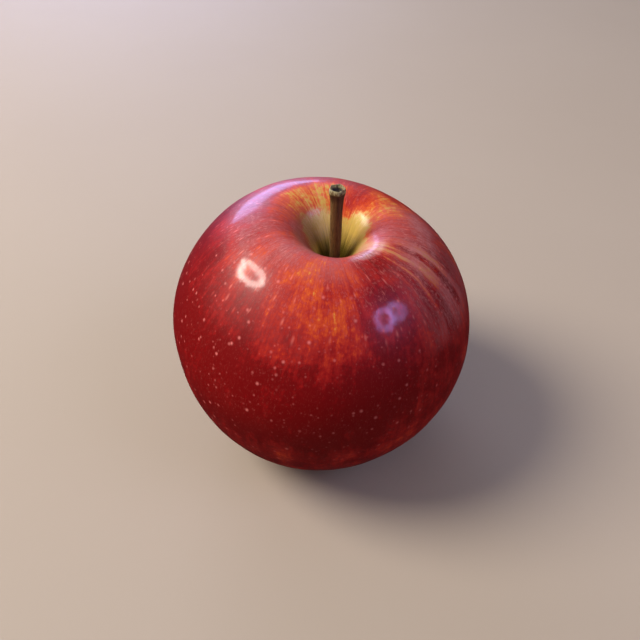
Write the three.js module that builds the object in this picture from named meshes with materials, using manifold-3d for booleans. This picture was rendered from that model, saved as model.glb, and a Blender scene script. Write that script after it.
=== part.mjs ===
// A red dessert apple standing on its crown, with its stem, and the dried flower in the calyx basin.
// Millimetres, +Z up. The origin is on the surface that the apple stands on, under its middle.

import * as THREE from 'three';
import { mergeVertices } from 'three/addons/utils/BufferGeometryUtils.js';
import Module from 'manifold-3d';

const wasm = await Module();
wasm.setup();

const TAU = 2 * Math.PI;

// The fruit's outline: the ring it stands on, its widest place, the crest, and the floor of the cavity.
const BASE_RADIUS = 12.9;
const WIDEST_RADIUS = 37.5;
const WIDEST_HEIGHT = 31.7;
const CREST_RADIUS = 13.8;
const CREST_HEIGHT = 61.4;
const CAVITY_DEPTH = 15;
const BASIN_DEPTH = 7.4;

// How far the outline runs on in its own direction at each of those places: the longer, the fuller.
const BASE_RUN = { inward: 4.6, outward: 12.6 };
const WIDEST_RUN = { down: 15.2, up: 17 };
const CREST_RUN = { outward: 7.1, inward: 5.8 };
const CAVITY_FLOOR_RUN = { outward: 2.2, up: 6.8 };
const BASIN_FLOOR_RUN = 2.4;

// How the fruit grew out of true. Its growing axis stands a little off the middle of the whole.
const AXIS = { x: -0.5, y: 0.3 };
const CAVITY_SHIFT = 3.1;
const CAVITY_FLOOR_SHIFT = 0.6;
const SHOULDER_SLOPE_X = 0.092;
const SHOULDER_SLOPE_Y = -0.071;
const OVAL = { share: 0.026, azimuth: -1.06 };
const TRIANGULAR = { share: 0.018, azimuth: 0.2 };

// Five lobes crown the calyx end, and each is flat where the apple rests.
const CROWN_LOBES = 5;
const CROWN_GROOVE = 0.9;
const CROWN_FLAT = 0.5;
const CROWN_WIDTH = 6;
const CROWN_REACH = 10;
const CROWN_AZIMUTH = -TAU / 4;

// Plain blind holes for the stem and the dried flower, with a gap all round.
const GAP = 0.3;
const SMALLEST_EDGE = 0.02;
const STEM_FOOT_RADIUS = 1.1;
const STEM_HOLE_RADIUS = STEM_FOOT_RADIUS + GAP;
const STEM_HOLE_DEPTH = 2.6;
const CALYX_RADIUS = 3.1;
const CALYX_HOLE_RADIUS = CALYX_RADIUS + GAP;
const CALYX_HOLE_DEPTH = 2.8;

const FRUIT_SIDES = 70;
const BASIN_STEPS = 9;
const LOWER_STEPS = 14;
const UPPER_STEPS = 14;
const CAVITY_STEPS = 11;

// The stem: its height, and how far its head leans from its foot.
const STEM_LENGTH = 25.3;
const STEM_LEAN_X = 0.5;
const STEM_LEAN_Y = 2.5;
const STEM_HEAD_RADIUS = 2.05;
const STEM_SIDES = 24;
const STEM_RIBS = 5;
const STEM_RIB_DEPTH = 0.06;

// The dried flower.
const SEPALS = 5;
const SEPAL_LENGTH = 5.2;
const SEPAL_WIDTH = 3;
const SEPAL_THICKNESS = 0.75;
const SEPAL_CUP = 0.12;
const CALYX_BORE = 1.9;
const STAMENS = 13;
const STAMEN_RADIUS = 0.32;
const STAMEN_LENGTH = 3.4;
const STAMEN_DISC_RADIUS = CALYX_BORE - GAP;
const RANDOM_SEED = 11;

const SKIN = new THREE.MeshStandardMaterial({ color: 0x9c1d22, roughness: 0.32, metalness: 0 });
const BARK = new THREE.MeshStandardMaterial({ color: 0x6b4a2b, roughness: 0.8, metalness: 0 });
const DRY_SEPAL = new THREE.MeshStandardMaterial({ color: 0x5c4a33, roughness: 0.9, metalness: 0 });
const DRY_STAMEN = new THREE.MeshStandardMaterial({ color: 0x3b2a1c, roughness: 0.95, metalness: 0 });

function smoothstep(value) {
  const t = THREE.MathUtils.clamp(value, 0, 1);
  return t * t * (3 - 2 * t);
}

// Repeatable draws from 0 to 1 (the mulberry32 generator).
function seededRandom(seed) {
  let state = seed;
  return () => {
    state = (state + 0x6d2b79f5) | 0;
    let mixed = Math.imul(state ^ (state >>> 15), 1 | state);
    mixed = (mixed + Math.imul(mixed ^ (mixed >>> 7), 61 | mixed)) ^ mixed;
    return ((mixed ^ (mixed >>> 14)) >>> 0) / 2 ** 32;
  };
}

function solidOf(geometry) {
  const bare = new THREE.BufferGeometry();
  bare.setAttribute('position', geometry.attributes.position);
  bare.setIndex(geometry.index);
  const merged = mergeVertices(bare, 1e-4);
  const corners = merged.index.array;
  const kept = [];
  for (let i = 0; i < corners.length; i += 3) {
    const [a, b, c] = corners.slice(i, i + 3);
    if (a !== b && b !== c && c !== a) {
      kept.push(a, b, c);
    }
  }
  const vertProperties = new Float32Array(merged.attributes.position.array);
  const triVerts = new Uint32Array(kept);
  return new wasm.Manifold(new wasm.Mesh({ numProp: 3, vertProperties, triVerts }));
}

function geometryOf(solid) {
  const mesh = solid.getMesh();
  const geometry = new THREE.BufferGeometry();
  geometry.setAttribute('position', new THREE.BufferAttribute(mesh.vertProperties, 3));
  geometry.setIndex(new THREE.BufferAttribute(mesh.triVerts, 1));
  geometry.computeVertexNormals();
  return geometry;
}

// The outer skin of a fused solid, so that a hollow sealed by the fusing is filled.
function outerBody(solid) {
  const shells = solid.simplify(SMALLEST_EDGE).decompose();
  return shells.reduce((best, shell) => (shell.volume() > best.volume() ? shell : best));
}

// A closed skin over rings of equal count, each ring running anticlockwise seen from the far end.
function loft(rings) {
  const sides = rings[0].length;
  const vertices = rings.flat();
  const first = vertices.length;
  const last = first + 1;
  const middle = (ring) => ring.reduce((sum, p) => sum.add(p), new THREE.Vector3()).divideScalar(sides);
  vertices.push(middle(rings[0]), middle(rings[rings.length - 1]));
  const faces = [];
  for (let side = 0; side < sides; side++) {
    const next = (side + 1) % sides;
    faces.push(first, next, side);
    for (let step = 0; step + 1 < rings.length; step++) {
      const low = step * sides;
      const high = low + sides;
      faces.push(low + side, low + next, high + next);
      faces.push(low + side, high + next, high + side);
    }
    const top = (rings.length - 1) * sides;
    faces.push(last, top + side, top + next);
  }
  const geometry = new THREE.BufferGeometry().setFromPoints(vertices);
  geometry.setIndex(faces);
  return geometry;
}

// Turns an outline of radius and height round the Z axis.
function turned(outline, sides) {
  const points = outline.map(({ r, z }) => new THREE.Vector2(r, z));
  return new THREE.LatheGeometry(points, sides).rotateX(TAU / 4);
}

// A smooth stretch of outline between two places, given how far it runs on past each.
function stretch(from, afterFrom, beforeTo, to, steps) {
  const curve = new THREE.CubicBezierCurve(
    new THREE.Vector2(from[0], from[1]),
    new THREE.Vector2(from[0] + afterFrom[0], from[1] + afterFrom[1]),
    new THREE.Vector2(to[0] + beforeTo[0], to[1] + beforeTo[1]),
    new THREE.Vector2(to[0], to[1]),
  );
  return curve.getPoints(steps).slice(1).map(({ x, y }) => ({ r: x, z: y }));
}

// One row for each ring of the fruit, from the calyx hole round the outside to the stem hole.
// shift is how far that ring stands off the growing axis, towards +X.
function fruitOutline() {
  const eye = [CALYX_HOLE_RADIUS, BASIN_DEPTH];
  const base = [BASE_RADIUS, 0];
  const widest = [WIDEST_RADIUS, WIDEST_HEIGHT];
  const crest = [CREST_RADIUS, CREST_HEIGHT];
  const floor = [STEM_HOLE_RADIUS, CREST_HEIGHT - CAVITY_DEPTH];
  const lower = [
    { r: 0, z: BASIN_DEPTH + CALYX_HOLE_DEPTH },
    { r: CALYX_HOLE_RADIUS, z: BASIN_DEPTH + CALYX_HOLE_DEPTH },
    { r: CALYX_HOLE_RADIUS, z: BASIN_DEPTH },
    ...stretch(eye, [BASIN_FLOOR_RUN, 0], [-BASE_RUN.inward, 0], base, BASIN_STEPS),
    ...stretch(base, [BASE_RUN.outward, 0], [0, -WIDEST_RUN.down], widest, LOWER_STEPS),
  ];
  const upper = stretch(widest, [0, WIDEST_RUN.up], [CREST_RUN.outward, 0], crest, UPPER_STEPS);
  const cavity = [
    ...stretch(
      crest,
      [-CREST_RUN.inward, 0],
      [CAVITY_FLOOR_RUN.outward, CAVITY_FLOOR_RUN.up],
      floor,
      CAVITY_STEPS,
    ),
    { r: STEM_HOLE_RADIUS, z: floor[1] - STEM_HOLE_DEPTH },
    { r: 0, z: floor[1] - STEM_HOLE_DEPTH },
  ];
  const climb = (z) => smoothstep((z - WIDEST_HEIGHT) / (CREST_HEIGHT - WIDEST_HEIGHT));
  const descent = (r) => Math.min((CREST_RADIUS - r) / (CREST_RADIUS - STEM_HOLE_RADIUS), 1);
  return [
    ...lower.map((row) => ({ ...row, shift: 0 })),
    ...upper.map((row) => ({ ...row, shift: CAVITY_SHIFT * climb(row.z) })),
    ...cavity.map((row) => ({ ...row, shift: CAVITY_SHIFT + CAVITY_FLOOR_SHIFT * descent(row.r) })),
  ];
}

// Moves a point of the true turned form to where the fruit grew it.
function grown(point, shift) {
  const azimuth = Math.atan2(point.y, point.x);
  const radius = Math.hypot(point.x, point.y);
  const oval = OVAL.share * Math.cos(2 * (azimuth - OVAL.azimuth));
  const triangular = TRIANGULAR.share * Math.cos(3 * (azimuth - TRIANGULAR.azimuth));
  const swell = 1 + (radius / WIDEST_RADIUS) * (oval + triangular);
  const x = point.x * swell;
  const y = point.y * swell;
  const fade = Math.exp(-(((radius - BASE_RADIUS) / CROWN_WIDTH) ** 2) - (point.z / CROWN_REACH) ** 2);
  const groove = CROWN_GROOVE * (0.5 - 0.5 * Math.cos(CROWN_LOBES * (azimuth - CROWN_AZIMUTH)));
  const slope = (SHOULDER_SLOPE_X * x + SHOULDER_SLOPE_Y * y) * (point.z / CREST_HEIGHT) ** 2;
  const z = point.z - slope + fade * (groove - CROWN_FLAT);
  return new THREE.Vector3(x + shift, y, Math.max(z, 0));
}

function fruit() {
  const rows = fruitOutline();
  const geometry = turned(rows, FRUIT_SIDES);
  const position = geometry.attributes.position;
  const point = new THREE.Vector3();
  for (let i = 0; i < position.count; i++) {
    point.fromBufferAttribute(position, i);
    const { x, y, z } = grown(point, rows[i % rows.length].shift);
    position.setXYZ(i, x, y, z);
  }
  return geometryOf(solidOf(geometry));
}

// The stem's outline: a slender foot, a shaft that thickens upward, and a flared head with a sunken scar.
function stemOutline() {
  const shaft = new THREE.SplineCurve([
    new THREE.Vector2(STEM_FOOT_RADIUS, 0),
    new THREE.Vector2(STEM_FOOT_RADIUS, 0.3 * STEM_LENGTH),
    new THREE.Vector2(1.36, 0.6 * STEM_LENGTH),
    new THREE.Vector2(1.56, 0.82 * STEM_LENGTH),
    new THREE.Vector2(0.93 * STEM_HEAD_RADIUS, 0.92 * STEM_LENGTH),
    new THREE.Vector2(STEM_HEAD_RADIUS, 0.96 * STEM_LENGTH),
    new THREE.Vector2(0.95 * STEM_HEAD_RADIUS, 0.99 * STEM_LENGTH),
  ]);
  const rows = shaft.getPoints(15).map(({ x, y }) => ({ r: x, z: y }));
  return [
    { r: 0, z: 0 },
    ...rows,
    { r: 0.78 * STEM_HEAD_RADIUS, z: STEM_LENGTH },
    { r: 0.62 * STEM_HEAD_RADIUS, z: STEM_LENGTH - 0.5 },
    { r: 0.3 * STEM_HEAD_RADIUS, z: STEM_LENGTH - 0.8 },
    { r: 0, z: STEM_LENGTH - 0.65 },
  ];
}

// Ribs run up the shaft, and its axis leans and bends from the foot.
function stem() {
  const geometry = turned(stemOutline(), STEM_SIDES);
  const position = geometry.attributes.position;
  for (let i = 0; i < position.count; i++) {
    const x = position.getX(i);
    const y = position.getY(i);
    const z = position.getZ(i);
    const height = Math.max(z, 0) / STEM_LENGTH;
    const azimuth = Math.atan2(y, x);
    const rib = STEM_RIB_DEPTH * smoothstep(4 * height - 0.8) * Math.cos(STEM_RIBS * azimuth + height);
    const swell = 1 + rib;
    position.setXYZ(i, x * swell + STEM_LEAN_X * height ** 1.6, y * swell + STEM_LEAN_Y * height ** 1.3, z);
  }
  return geometryOf(solidOf(geometry));
}

// One ring of a sepal, a flat section cupped across its midrib and tipped outward.
function sepalSection(width, thickness, reach, height, tip) {
  const corners = 8;
  return Array.from({ length: corners }, (_, corner) => {
    const turn = (TAU * corner) / corners;
    const across = 0.5 * width * Math.sin(turn);
    const through = 0.5 * thickness * Math.cos(turn) - SEPAL_CUP * across * across;
    const out = reach + through * Math.cos(tip);
    return new THREE.Vector3(out, across, height - through * Math.sin(tip));
  });
}

// One dried sepal, standing at +X: it closes in over the eye, then curls back outward to its tip.
function sepal(length, curl) {
  const steps = 8;
  const rings = [];
  for (let step = 0; step <= steps; step++) {
    const s = step / steps;
    const width = SEPAL_WIDTH * (1 - s ** 1.7) * (1 - 0.1 * s) + 0.7 * s;
    const thickness = SEPAL_THICKNESS * (1 - 0.1 * s);
    const reach = CALYX_BORE + 0.6 - 0.5 * Math.sin(Math.PI * 0.62 * s) + curl * s ** 3;
    const height = length * (s - 0.15 * s ** 3) - 0.8;
    rings.push(sepalSection(width, thickness, reach, height, 0.5 * s));
  }
  return loft(rings);
}

function calyxRing() {
  return turned([
    { r: CALYX_BORE, z: -2.2 },
    { r: CALYX_RADIUS, z: -2.2 },
    { r: CALYX_RADIUS, z: -0.1 },
    { r: CALYX_RADIUS - 0.3, z: 0.3 },
    { r: CALYX_BORE, z: 0.3 },
    { r: CALYX_BORE, z: -2.2 },
  ], 40);
}

function sepals() {
  const random = seededRandom(RANDOM_SEED);
  let solid = solidOf(calyxRing());
  for (let i = 0; i < SEPALS; i++) {
    const blade = sepal(SEPAL_LENGTH * (0.9 + 0.2 * random()), 1.2 + 1.2 * random());
    blade.rotateZ((TAU * (i + 0.15 * random())) / SEPALS);
    solid = solid.add(solidOf(blade));
  }
  return geometryOf(outerBody(solid));
}

// One dried stamen, a bent thread with a knobbed end.
function stamen(foot, tip) {
  const sides = 6;
  const bends = [[0, 1.15], [0.35, 1], [0.7, 0.95], [0.85, 1.35], [1, 1.1]];
  const rings = bends.map(([s, swell]) => {
    const centre = new THREE.Vector3().lerpVectors(foot, tip, s);
    centre.addScaledVector(foot, 0.5 * Math.sin(Math.PI * s) * (1 - s));
    centre.z = THREE.MathUtils.lerp(foot.z, tip.z, s);
    return Array.from({ length: sides }, (_, side) => {
      const turn = (TAU * side) / sides;
      const radius = STAMEN_RADIUS * swell;
      return centre.clone().add(new THREE.Vector3(radius * Math.cos(turn), radius * Math.sin(turn), 0));
    });
  });
  return loft(rings);
}

function stamens() {
  const random = seededRandom(RANDOM_SEED + 1);
  const disc = turned([
    { r: 0, z: -2 },
    { r: STAMEN_DISC_RADIUS, z: -2 },
    { r: STAMEN_DISC_RADIUS, z: -1.2 },
    { r: 0.6 * STAMEN_DISC_RADIUS, z: -0.8 },
    { r: 0, z: -0.8 },
  ], 24);
  let solid = solidOf(disc);
  for (let i = 0; i < STAMENS; i++) {
    const turn = (TAU * i) / STAMENS + 0.3 * random();
    const radius = i % 2 ? 0.95 : 0.55;
    const foot = new THREE.Vector3(radius * Math.cos(turn), radius * Math.sin(turn), -1.5);
    const spread = 0.35 + 0.55 * random();
    const height = STAMEN_LENGTH * (0.75 + 0.3 * random()) - 0.9;
    const tip = new THREE.Vector3(spread * Math.cos(turn + 0.5), spread * Math.sin(turn + 0.5), height);
    solid = solid.add(solidOf(stamen(foot, tip)));
  }
  return geometryOf(outerBody(solid));
}

function named(name, geometry, material) {
  const mesh = new THREE.Mesh(geometry, material);
  mesh.name = name;
  return mesh;
}

const group = new THREE.Group();
group.position.set(AXIS.x, AXIS.y, 0);
group.add(named('fruit', fruit(), SKIN));

const stemMesh = named('stem', stem(), BARK);
const stemHoleFloor = CREST_HEIGHT - CAVITY_DEPTH - STEM_HOLE_DEPTH;
stemMesh.position.set(CAVITY_SHIFT + CAVITY_FLOOR_SHIFT, 0, stemHoleFloor + GAP);
group.add(stemMesh);

// The dried flower hangs tips down in the basin.
const flower = new THREE.Group();
flower.position.z = BASIN_DEPTH;
flower.rotation.x = TAU / 2;
flower.add(named('sepals', sepals(), DRY_SEPAL));
flower.add(named('stamens', stamens(), DRY_STAMEN));
group.add(flower);

export default group;
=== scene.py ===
"""A red apple: the fruit with its streaked and dotted skin, its stem, and the dried flower underneath."""

import math
import random

import bpy
import numpy as np
from bpy.props import FloatProperty, FloatVectorProperty, IntProperty, PointerProperty
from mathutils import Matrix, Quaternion, Vector, kdtree, noise


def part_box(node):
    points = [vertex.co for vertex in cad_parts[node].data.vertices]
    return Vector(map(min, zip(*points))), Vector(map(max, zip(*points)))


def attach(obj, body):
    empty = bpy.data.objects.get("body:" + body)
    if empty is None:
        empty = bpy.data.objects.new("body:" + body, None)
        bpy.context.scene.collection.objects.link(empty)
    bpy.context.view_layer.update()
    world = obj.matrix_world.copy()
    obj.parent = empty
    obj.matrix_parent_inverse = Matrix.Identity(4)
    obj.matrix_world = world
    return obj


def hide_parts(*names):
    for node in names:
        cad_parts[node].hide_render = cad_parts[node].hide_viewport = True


bl_info = {
    "name": "Red apple",
    "version": (1, 0, 0),
    "blender": (4, 5, 0),
    "location": "View3D > Sidebar > Red apple",
    "description": "Models and finishes a red apple with its stem and its dried flower",
    "category": "Object",
}

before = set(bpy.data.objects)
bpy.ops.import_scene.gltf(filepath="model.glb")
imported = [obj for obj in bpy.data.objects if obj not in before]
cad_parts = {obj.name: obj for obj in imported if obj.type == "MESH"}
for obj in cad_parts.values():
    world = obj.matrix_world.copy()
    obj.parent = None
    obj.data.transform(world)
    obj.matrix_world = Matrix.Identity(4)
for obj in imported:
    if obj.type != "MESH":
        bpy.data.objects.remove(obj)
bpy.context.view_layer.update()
BODY = "root"
MM = 0.001
TAU = 2 * math.pi

# Where the fruit's growing axis stands, the lobes of its crown, a height between its two holes, the gap round
# what stands in them, and how far a piece may be off the size of its node.
AXIS = Vector((-0.5 * MM, 0.3 * MM, 0))
CROWN_LOBES = 5
CROWN_AZIMUTH = -TAU / 4
BETWEEN_HOLES = 20 * MM
GAP = 0.3 * MM
SAME_SIZE = 0.5 * MM


# -------- what a user would change

def linear_value(value):
    """One screen value from 0 to 1, as light."""
    return value / 12.92 if value <= 0.04045 else ((value + 0.055) / 1.055) ** 2.4


def length(name, description, default):
    """A size in metres."""
    return FloatProperty(name=name, description=description, default=default, unit="LENGTH", precision=5)


def share(name, description, default):
    """A plain number, mostly a share of something."""
    return FloatProperty(name=name, description=description, default=default, precision=3)


def count(name, description, default, least):
    """A whole number."""
    return IntProperty(name=name, description=description, default=default, min=least)


def angle(name, description, default):
    """An angle, given in radians."""
    return FloatProperty(name=name, description=description, default=default, unit="ROTATION")


def colour(name, description, red, green, blue):
    """A colour, given as a screen shows it, from 0 to 255."""
    light = tuple(linear_value(value / 255) for value in (red, green, blue))
    return FloatVectorProperty(name=name, description=description, default=light, subtype="COLOR", size=3,
                               min=0, max=1)


class FruitForm(bpy.types.PropertyGroup):
    """Sizes of the fruit."""

    widest_radius: length("Widest radius", "Radius at the fruit's widest ring", 0.0375)
    widest_height: length("Widest height", "Height of the widest ring", 0.0317)
    base_radius: length("Base radius", "Radius of the ring that it stands on", 0.0129)
    crest_radius: length("Crest radius", "Radius of the crest round the stem cavity", 0.0138)
    crest_height: length("Crest height", "Height of the crest", 0.0614)
    cavity_depth: length("Cavity depth", "Depth of the stem cavity below the crest", 0.015)
    basin_depth: length("Basin depth", "Depth of the calyx basin", 0.0074)
    stem_hole: length("Stem hole", "Radius of the hole that the stem stands in", 0.0014)
    stem_hole_depth: length("Stem hole depth", "Its depth below the cavity floor", 0.0026)
    eye_hole: length("Eye hole", "Radius of the hole that the dried flower stands in", 0.0034)
    eye_hole_depth: length("Eye hole depth", "Its depth above the basin", 0.0028)
    cavity_shift: length("Cavity shift", "How far the cavity stands off the axis", 0.0031)
    floor_shift: length("Floor shift", "How much further its floor does", 0.0006)
    slope_x: share("Slope to the right", "Fall of the crest towards +X", 0.092)
    slope_y: share("Slope to the back", "Fall of the crest towards +Y", -0.071)
    oval: share("Oval", "Share by which the fruit is oval", 0.026)
    oval_azimuth: angle("Oval azimuth", "Where it is widest", -1.06)
    triangular: share("Triangular", "Share by which the fruit is three-sided", 0.018)
    triangular_azimuth: angle("Triangular azimuth", "Where one side swells", 0.2)
    groove: length("Crown groove", "Depth between the lobes of the crown", 0.0009)
    flat: length("Crown flat", "How much of each lobe is flattened", 0.0005)
    unevenness: length("Unevenness", "Height of the skin's slow swellings", 0.00016)
    columns: count("Columns", "Faces round the fruit", 288, 24)
    rows: count("Rows", "Faces along each stretch of outline", 42, 6)


class StemForm(bpy.types.PropertyGroup):
    """Sizes of the stem."""

    length: length("Length", "From the foot to the top", 0.0251)
    foot_radius: length("Foot radius", "Radius where it stands in the fruit", 0.0012)
    head_radius: length("Head radius", "Radius of the flared end", 0.00186)
    lean_x: length("Lean to the right", "How far the head leans towards +X", 0.0005)
    lean_y: length("Lean to the back", "How far the head leans towards +Y", 0.0022)
    ribs: count("Ribs", "Ribs along the shaft", 5, 0)
    rib_depth: share("Rib depth", "Share of the radius", 0.06)
    columns: count("Columns", "Faces round the stem", 64, 12)


class FlowerForm(bpy.types.PropertyGroup):
    """Sizes of the dried flower."""

    sepals: count("Sepals", "Number of sepals", 5, 3)
    sepal_length: length("Sepal length", "From the ring to the tip", 0.0052)
    sepal_width: length("Sepal width", "Width at the foot", 0.003)
    sepal_thickness: length("Sepal thickness", "Thickness of a blade", 0.0006)
    ring_radius: length("Ring radius", "Outer radius of the ring that carries the sepals", 0.0031)
    bore: length("Bore", "Inner radius of that ring", 0.0019)
    stamens: count("Stamens", "Number of stamens", 13, 1)
    stamen_length: length("Stamen length", "From the disc to the tip", 0.0034)
    stamen_radius: length("Stamen radius", "Radius of a thread", 0.00026)


class SkinLook(bpy.types.PropertyGroup):
    """Colours of the skin."""

    gold: colour("Gold", "Ground colour where the flush is thin", 204, 172, 82)
    straw: colour("Straw", "Paler flecks in the ground colour", 222, 196, 118)
    # Olive is the cavity's own green, darkened as painted shade deep in the recess.
    olive: colour("Olive", "Ground colour deep in the cavity", 88, 74, 18)
    orange: colour("Orange", "Thinnest flush", 216, 92, 32)
    scarlet: colour("Scarlet", "Thin flush", 190, 50, 28)
    red: colour("Red", "Full flush", 164, 26, 24)
    crimson: colour("Crimson", "Dense flush", 136, 8, 11)
    maroon: colour("Maroon", "Densest flush", 113, 3, 5)
    tan: colour("Tan", "Ground between the dark stripes of one shoulder", 186, 136, 80)
    # Painted shade on the cavity's left wall, which faces away from the key lamp.
    cavity_shade: colour("Dusk", "Shaded side of the cavity", 122, 76, 58)
    # Haze is partly the skin's own pale wax and partly painted sheen of the lamps and the room.
    haze: colour("Haze", "Pale bloom towards the stem", 196, 122, 122)
    # The whitish colour round the cavity is painted sheen.
    cavity_sheen: colour("Cavity_sheen", "Whitish bloom round the cavity", 220, 186, 184)
    # The flecks are partly the skin's pale dashes and partly painted sheen.
    fleck: colour("Flecks", "Pale flecks in the flush", 238, 132, 122)
    dot: colour("Dots", "Colour of the pores", 244, 136, 132)


class BarkLook(bpy.types.PropertyGroup):
    """Colours of the stem and of the dried flower."""

    bark: colour("Bark", "Shaft of the stem", 106, 68, 36)
    # The paler olive side is a painted highlight on the side towards the key lamp.
    olive: colour("Olive bark", "Paler side of the shaft", 150, 122, 72)
    dark: colour("Dark bark", "Streaks and the foot", 52, 25, 13)
    rim: colour("Rim", "Broken rim of the head", 168, 158, 118)
    # The hollow is its own dark brown, darkened further as painted shade.
    hollow: colour("Hollow", "Sunken end of the head", 26, 19, 12)
    sepal: colour("Sepal", "Dried sepals", 128, 98, 60)
    sepal_tip: colour("Sepal tip", "Their darkened tips", 66, 44, 26)
    thread: colour("Thread", "Dried stamens", 62, 44, 30)
    down: colour("Down", "Fine hairs on the sepals", 186, 176, 152)


class AppleSettings(bpy.types.PropertyGroup):
    """Everything that the panel shows."""

    form: PointerProperty(type=FruitForm)
    stem: PointerProperty(type=StemForm)
    flower: PointerProperty(type=FlowerForm)
    skin: PointerProperty(type=SkinLook)
    bark: PointerProperty(type=BarkLook)


# -------- wiring nodes

class Wiring:
    """Adds nodes to a tree and joins them."""

    def __init__(self, tree):
        self.tree = tree

    def node(self, kind, feeds=None, **settings):
        """Adds a node, applies its settings, and feeds its sockets with values or other nodes' outputs."""
        node = self.tree.nodes.new(kind)
        for key, value in settings.items():
            setattr(node, key, value)
        for key, value in (feeds or {}).items():
            self.feed(node.inputs[key], value)
        return node

    def feed(self, socket, value):
        """Gives a socket another node's output, a number, or a vector or colour of three numbers."""
        if isinstance(value, bpy.types.NodeSocket):
            self.tree.links.new(value, socket)
        elif socket.type == "RGBA":
            socket.default_value = (*value, 1.0)
        else:
            socket.default_value = value

    def maths(self, operation, first, second=0.0, third=0.0):
        feeds = {0: first, 1: second, 2: third}
        return self.node("ShaderNodeMath", feeds, operation=operation).outputs[0]

    def add(self, total, *others):
        """The sum of values, from left to right."""
        for other in others:
            total = self.maths("ADD", total, other)
        return total

    def times(self, first, second):
        return self.maths("MULTIPLY", first, second)

    def scaled(self, vector, scale, location=(0, 0, 0)):
        feeds = {"Vector": vector, "Scale": scale, "Location": location}
        return self.node("ShaderNodeMapping", feeds).outputs[0]

    def noise(self, vector, scale=1.0, detail=2.0, roughness=0.5, kind="Fac"):
        feeds = {"Vector": vector, "Scale": scale, "Detail": detail, "Roughness": roughness}
        return self.node("ShaderNodeTexNoise", feeds).outputs[kind]

    def spread(self, value, low, high, to_low=0.0, to_high=1.0):
        """A smooth step of value, from to_low at low to to_high at high."""
        feeds = {0: value, 1: low, 2: high, 3: to_low, 4: to_high}
        return self.node("ShaderNodeMapRange", feeds, interpolation_type="SMOOTHSTEP").outputs[0]

    def mix(self, factor, first, second):
        node = self.node("ShaderNodeMix", data_type="RGBA")
        colours = [socket for socket in node.inputs if socket.type == "RGBA"]
        self.feed(node.inputs[0], factor)
        self.feed(colours[0], first)
        self.feed(colours[1], second)
        return next(socket for socket in node.outputs if socket.type == "RGBA")

    def ramp(self, value, stops):
        """Colours along value; stops are pairs of a place and a colour."""
        node = self.node("ShaderNodeValToRGB", {0: value})
        band = node.color_ramp
        band.interpolation = "B_SPLINE"
        while len(band.elements) < len(stops):
            band.elements.new(1.0)
        for element, (place, light) in zip(band.elements, stops):
            element.position = place
            element.color = (*light, 1.0)
        return node.outputs[0]

    def split(self, vector):
        return self.node("ShaderNodeSeparateXYZ", {0: vector}).outputs

    def vectors(self, operation, first, second=(0, 0, 0), result="Vector"):
        return self.node("ShaderNodeVectorMath", {0: first, 1: second}, operation=operation).outputs[result]

    def facing_share(self, vector, azimuth):
        """The dot product of a vector with the level direction at an azimuth in degrees."""
        turn = math.radians(azimuth)
        return self.vectors("DOT_PRODUCT", vector, (math.cos(turn), math.sin(turn), 0), "Value")

    def own(self, name):
        """The piece's own attribute of that name."""
        return self.node("ShaderNodeAttribute", attribute_name=name).outputs["Vector"]

    def place(self):
        return self.node("ShaderNodeTexCoord").outputs["Object"]

    def bump(self, height, distance, strength=1.0, normal=None):
        feeds = {"Height": height, "Distance": distance, "Strength": strength}
        if normal is not None:
            feeds["Normal"] = normal
        return self.node("ShaderNodeBump", feeds).outputs[0]


class Finish(Wiring):
    """A procedural material round one shader."""

    def __init__(self, name, **sockets):
        self.material = bpy.data.materials.new(name)
        self.material.use_nodes = True
        super().__init__(self.material.node_tree)
        self.tree.nodes.clear()
        self.surface = self.node("ShaderNodeBsdfPrincipled", sockets)
        self.node("ShaderNodeOutputMaterial", {"Surface": self.surface.outputs[0]})

    def wear(self, **sockets):
        """Feeds the shader's own sockets."""
        for key, value in sockets.items():
            self.feed(self.surface.inputs[key.replace("_", " ")], value)


# -------- modelling helpers

def clear_selection():
    if bpy.context.object and bpy.context.object.mode != "OBJECT":
        bpy.ops.object.mode_set(mode="OBJECT")
    bpy.ops.object.select_all(action="DESELECT")


def make_active(piece):
    clear_selection()
    piece.select_set(True)
    bpy.context.view_layer.objects.active = piece


def in_edit_mode(piece):
    """Goes into edit mode with all of a piece's vertices selected."""
    make_active(piece)
    bpy.ops.object.mode_set(mode="EDIT")
    bpy.ops.mesh.select_mode(type="VERT")
    bpy.ops.mesh.select_all(action="SELECT")


def select_where(piece, test):
    """Selects the vertices of a piece in edit mode whose place passes the test."""
    bpy.ops.mesh.select_all(action="DESELECT")
    bpy.ops.object.mode_set(mode="OBJECT")
    for vertex in piece.data.vertices:
        vertex.select = test(vertex.co)
    bpy.ops.object.mode_set(mode="EDIT")


def outward(piece):
    """Turns all of a piece's faces outward."""
    in_edit_mode(piece)
    bpy.ops.mesh.normals_make_consistent(inside=False)
    bpy.ops.object.mode_set(mode="OBJECT")


def drawn_outline(name, knots, rows):
    """A Bezier outline in the XZ plane, made a mesh.

    A knot is a place with its two handles, or a place alone, whose handles then follow its neighbours."""
    clear_selection()
    bpy.ops.curve.primitive_bezier_curve_add()
    piece = bpy.context.object
    piece.name = name
    piece.data.name = name
    piece.data.resolution_u = rows
    spline = piece.data.splines[0]
    spline.bezier_points.add(len(knots) - len(spline.bezier_points))
    for point, (co, *handles) in zip(spline.bezier_points, knots):
        point.co = (co[0], 0, co[1])
        point.handle_left_type = "FREE" if handles else "AUTO"
        point.handle_right_type = point.handle_left_type
        if handles:
            before, after = handles
            point.handle_left = (co[0] + before[0], 0, co[1] + before[1])
            point.handle_right = (co[0] + after[0], 0, co[1] + after[1])
    bpy.ops.object.convert(target="MESH")
    return bpy.context.object


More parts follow.
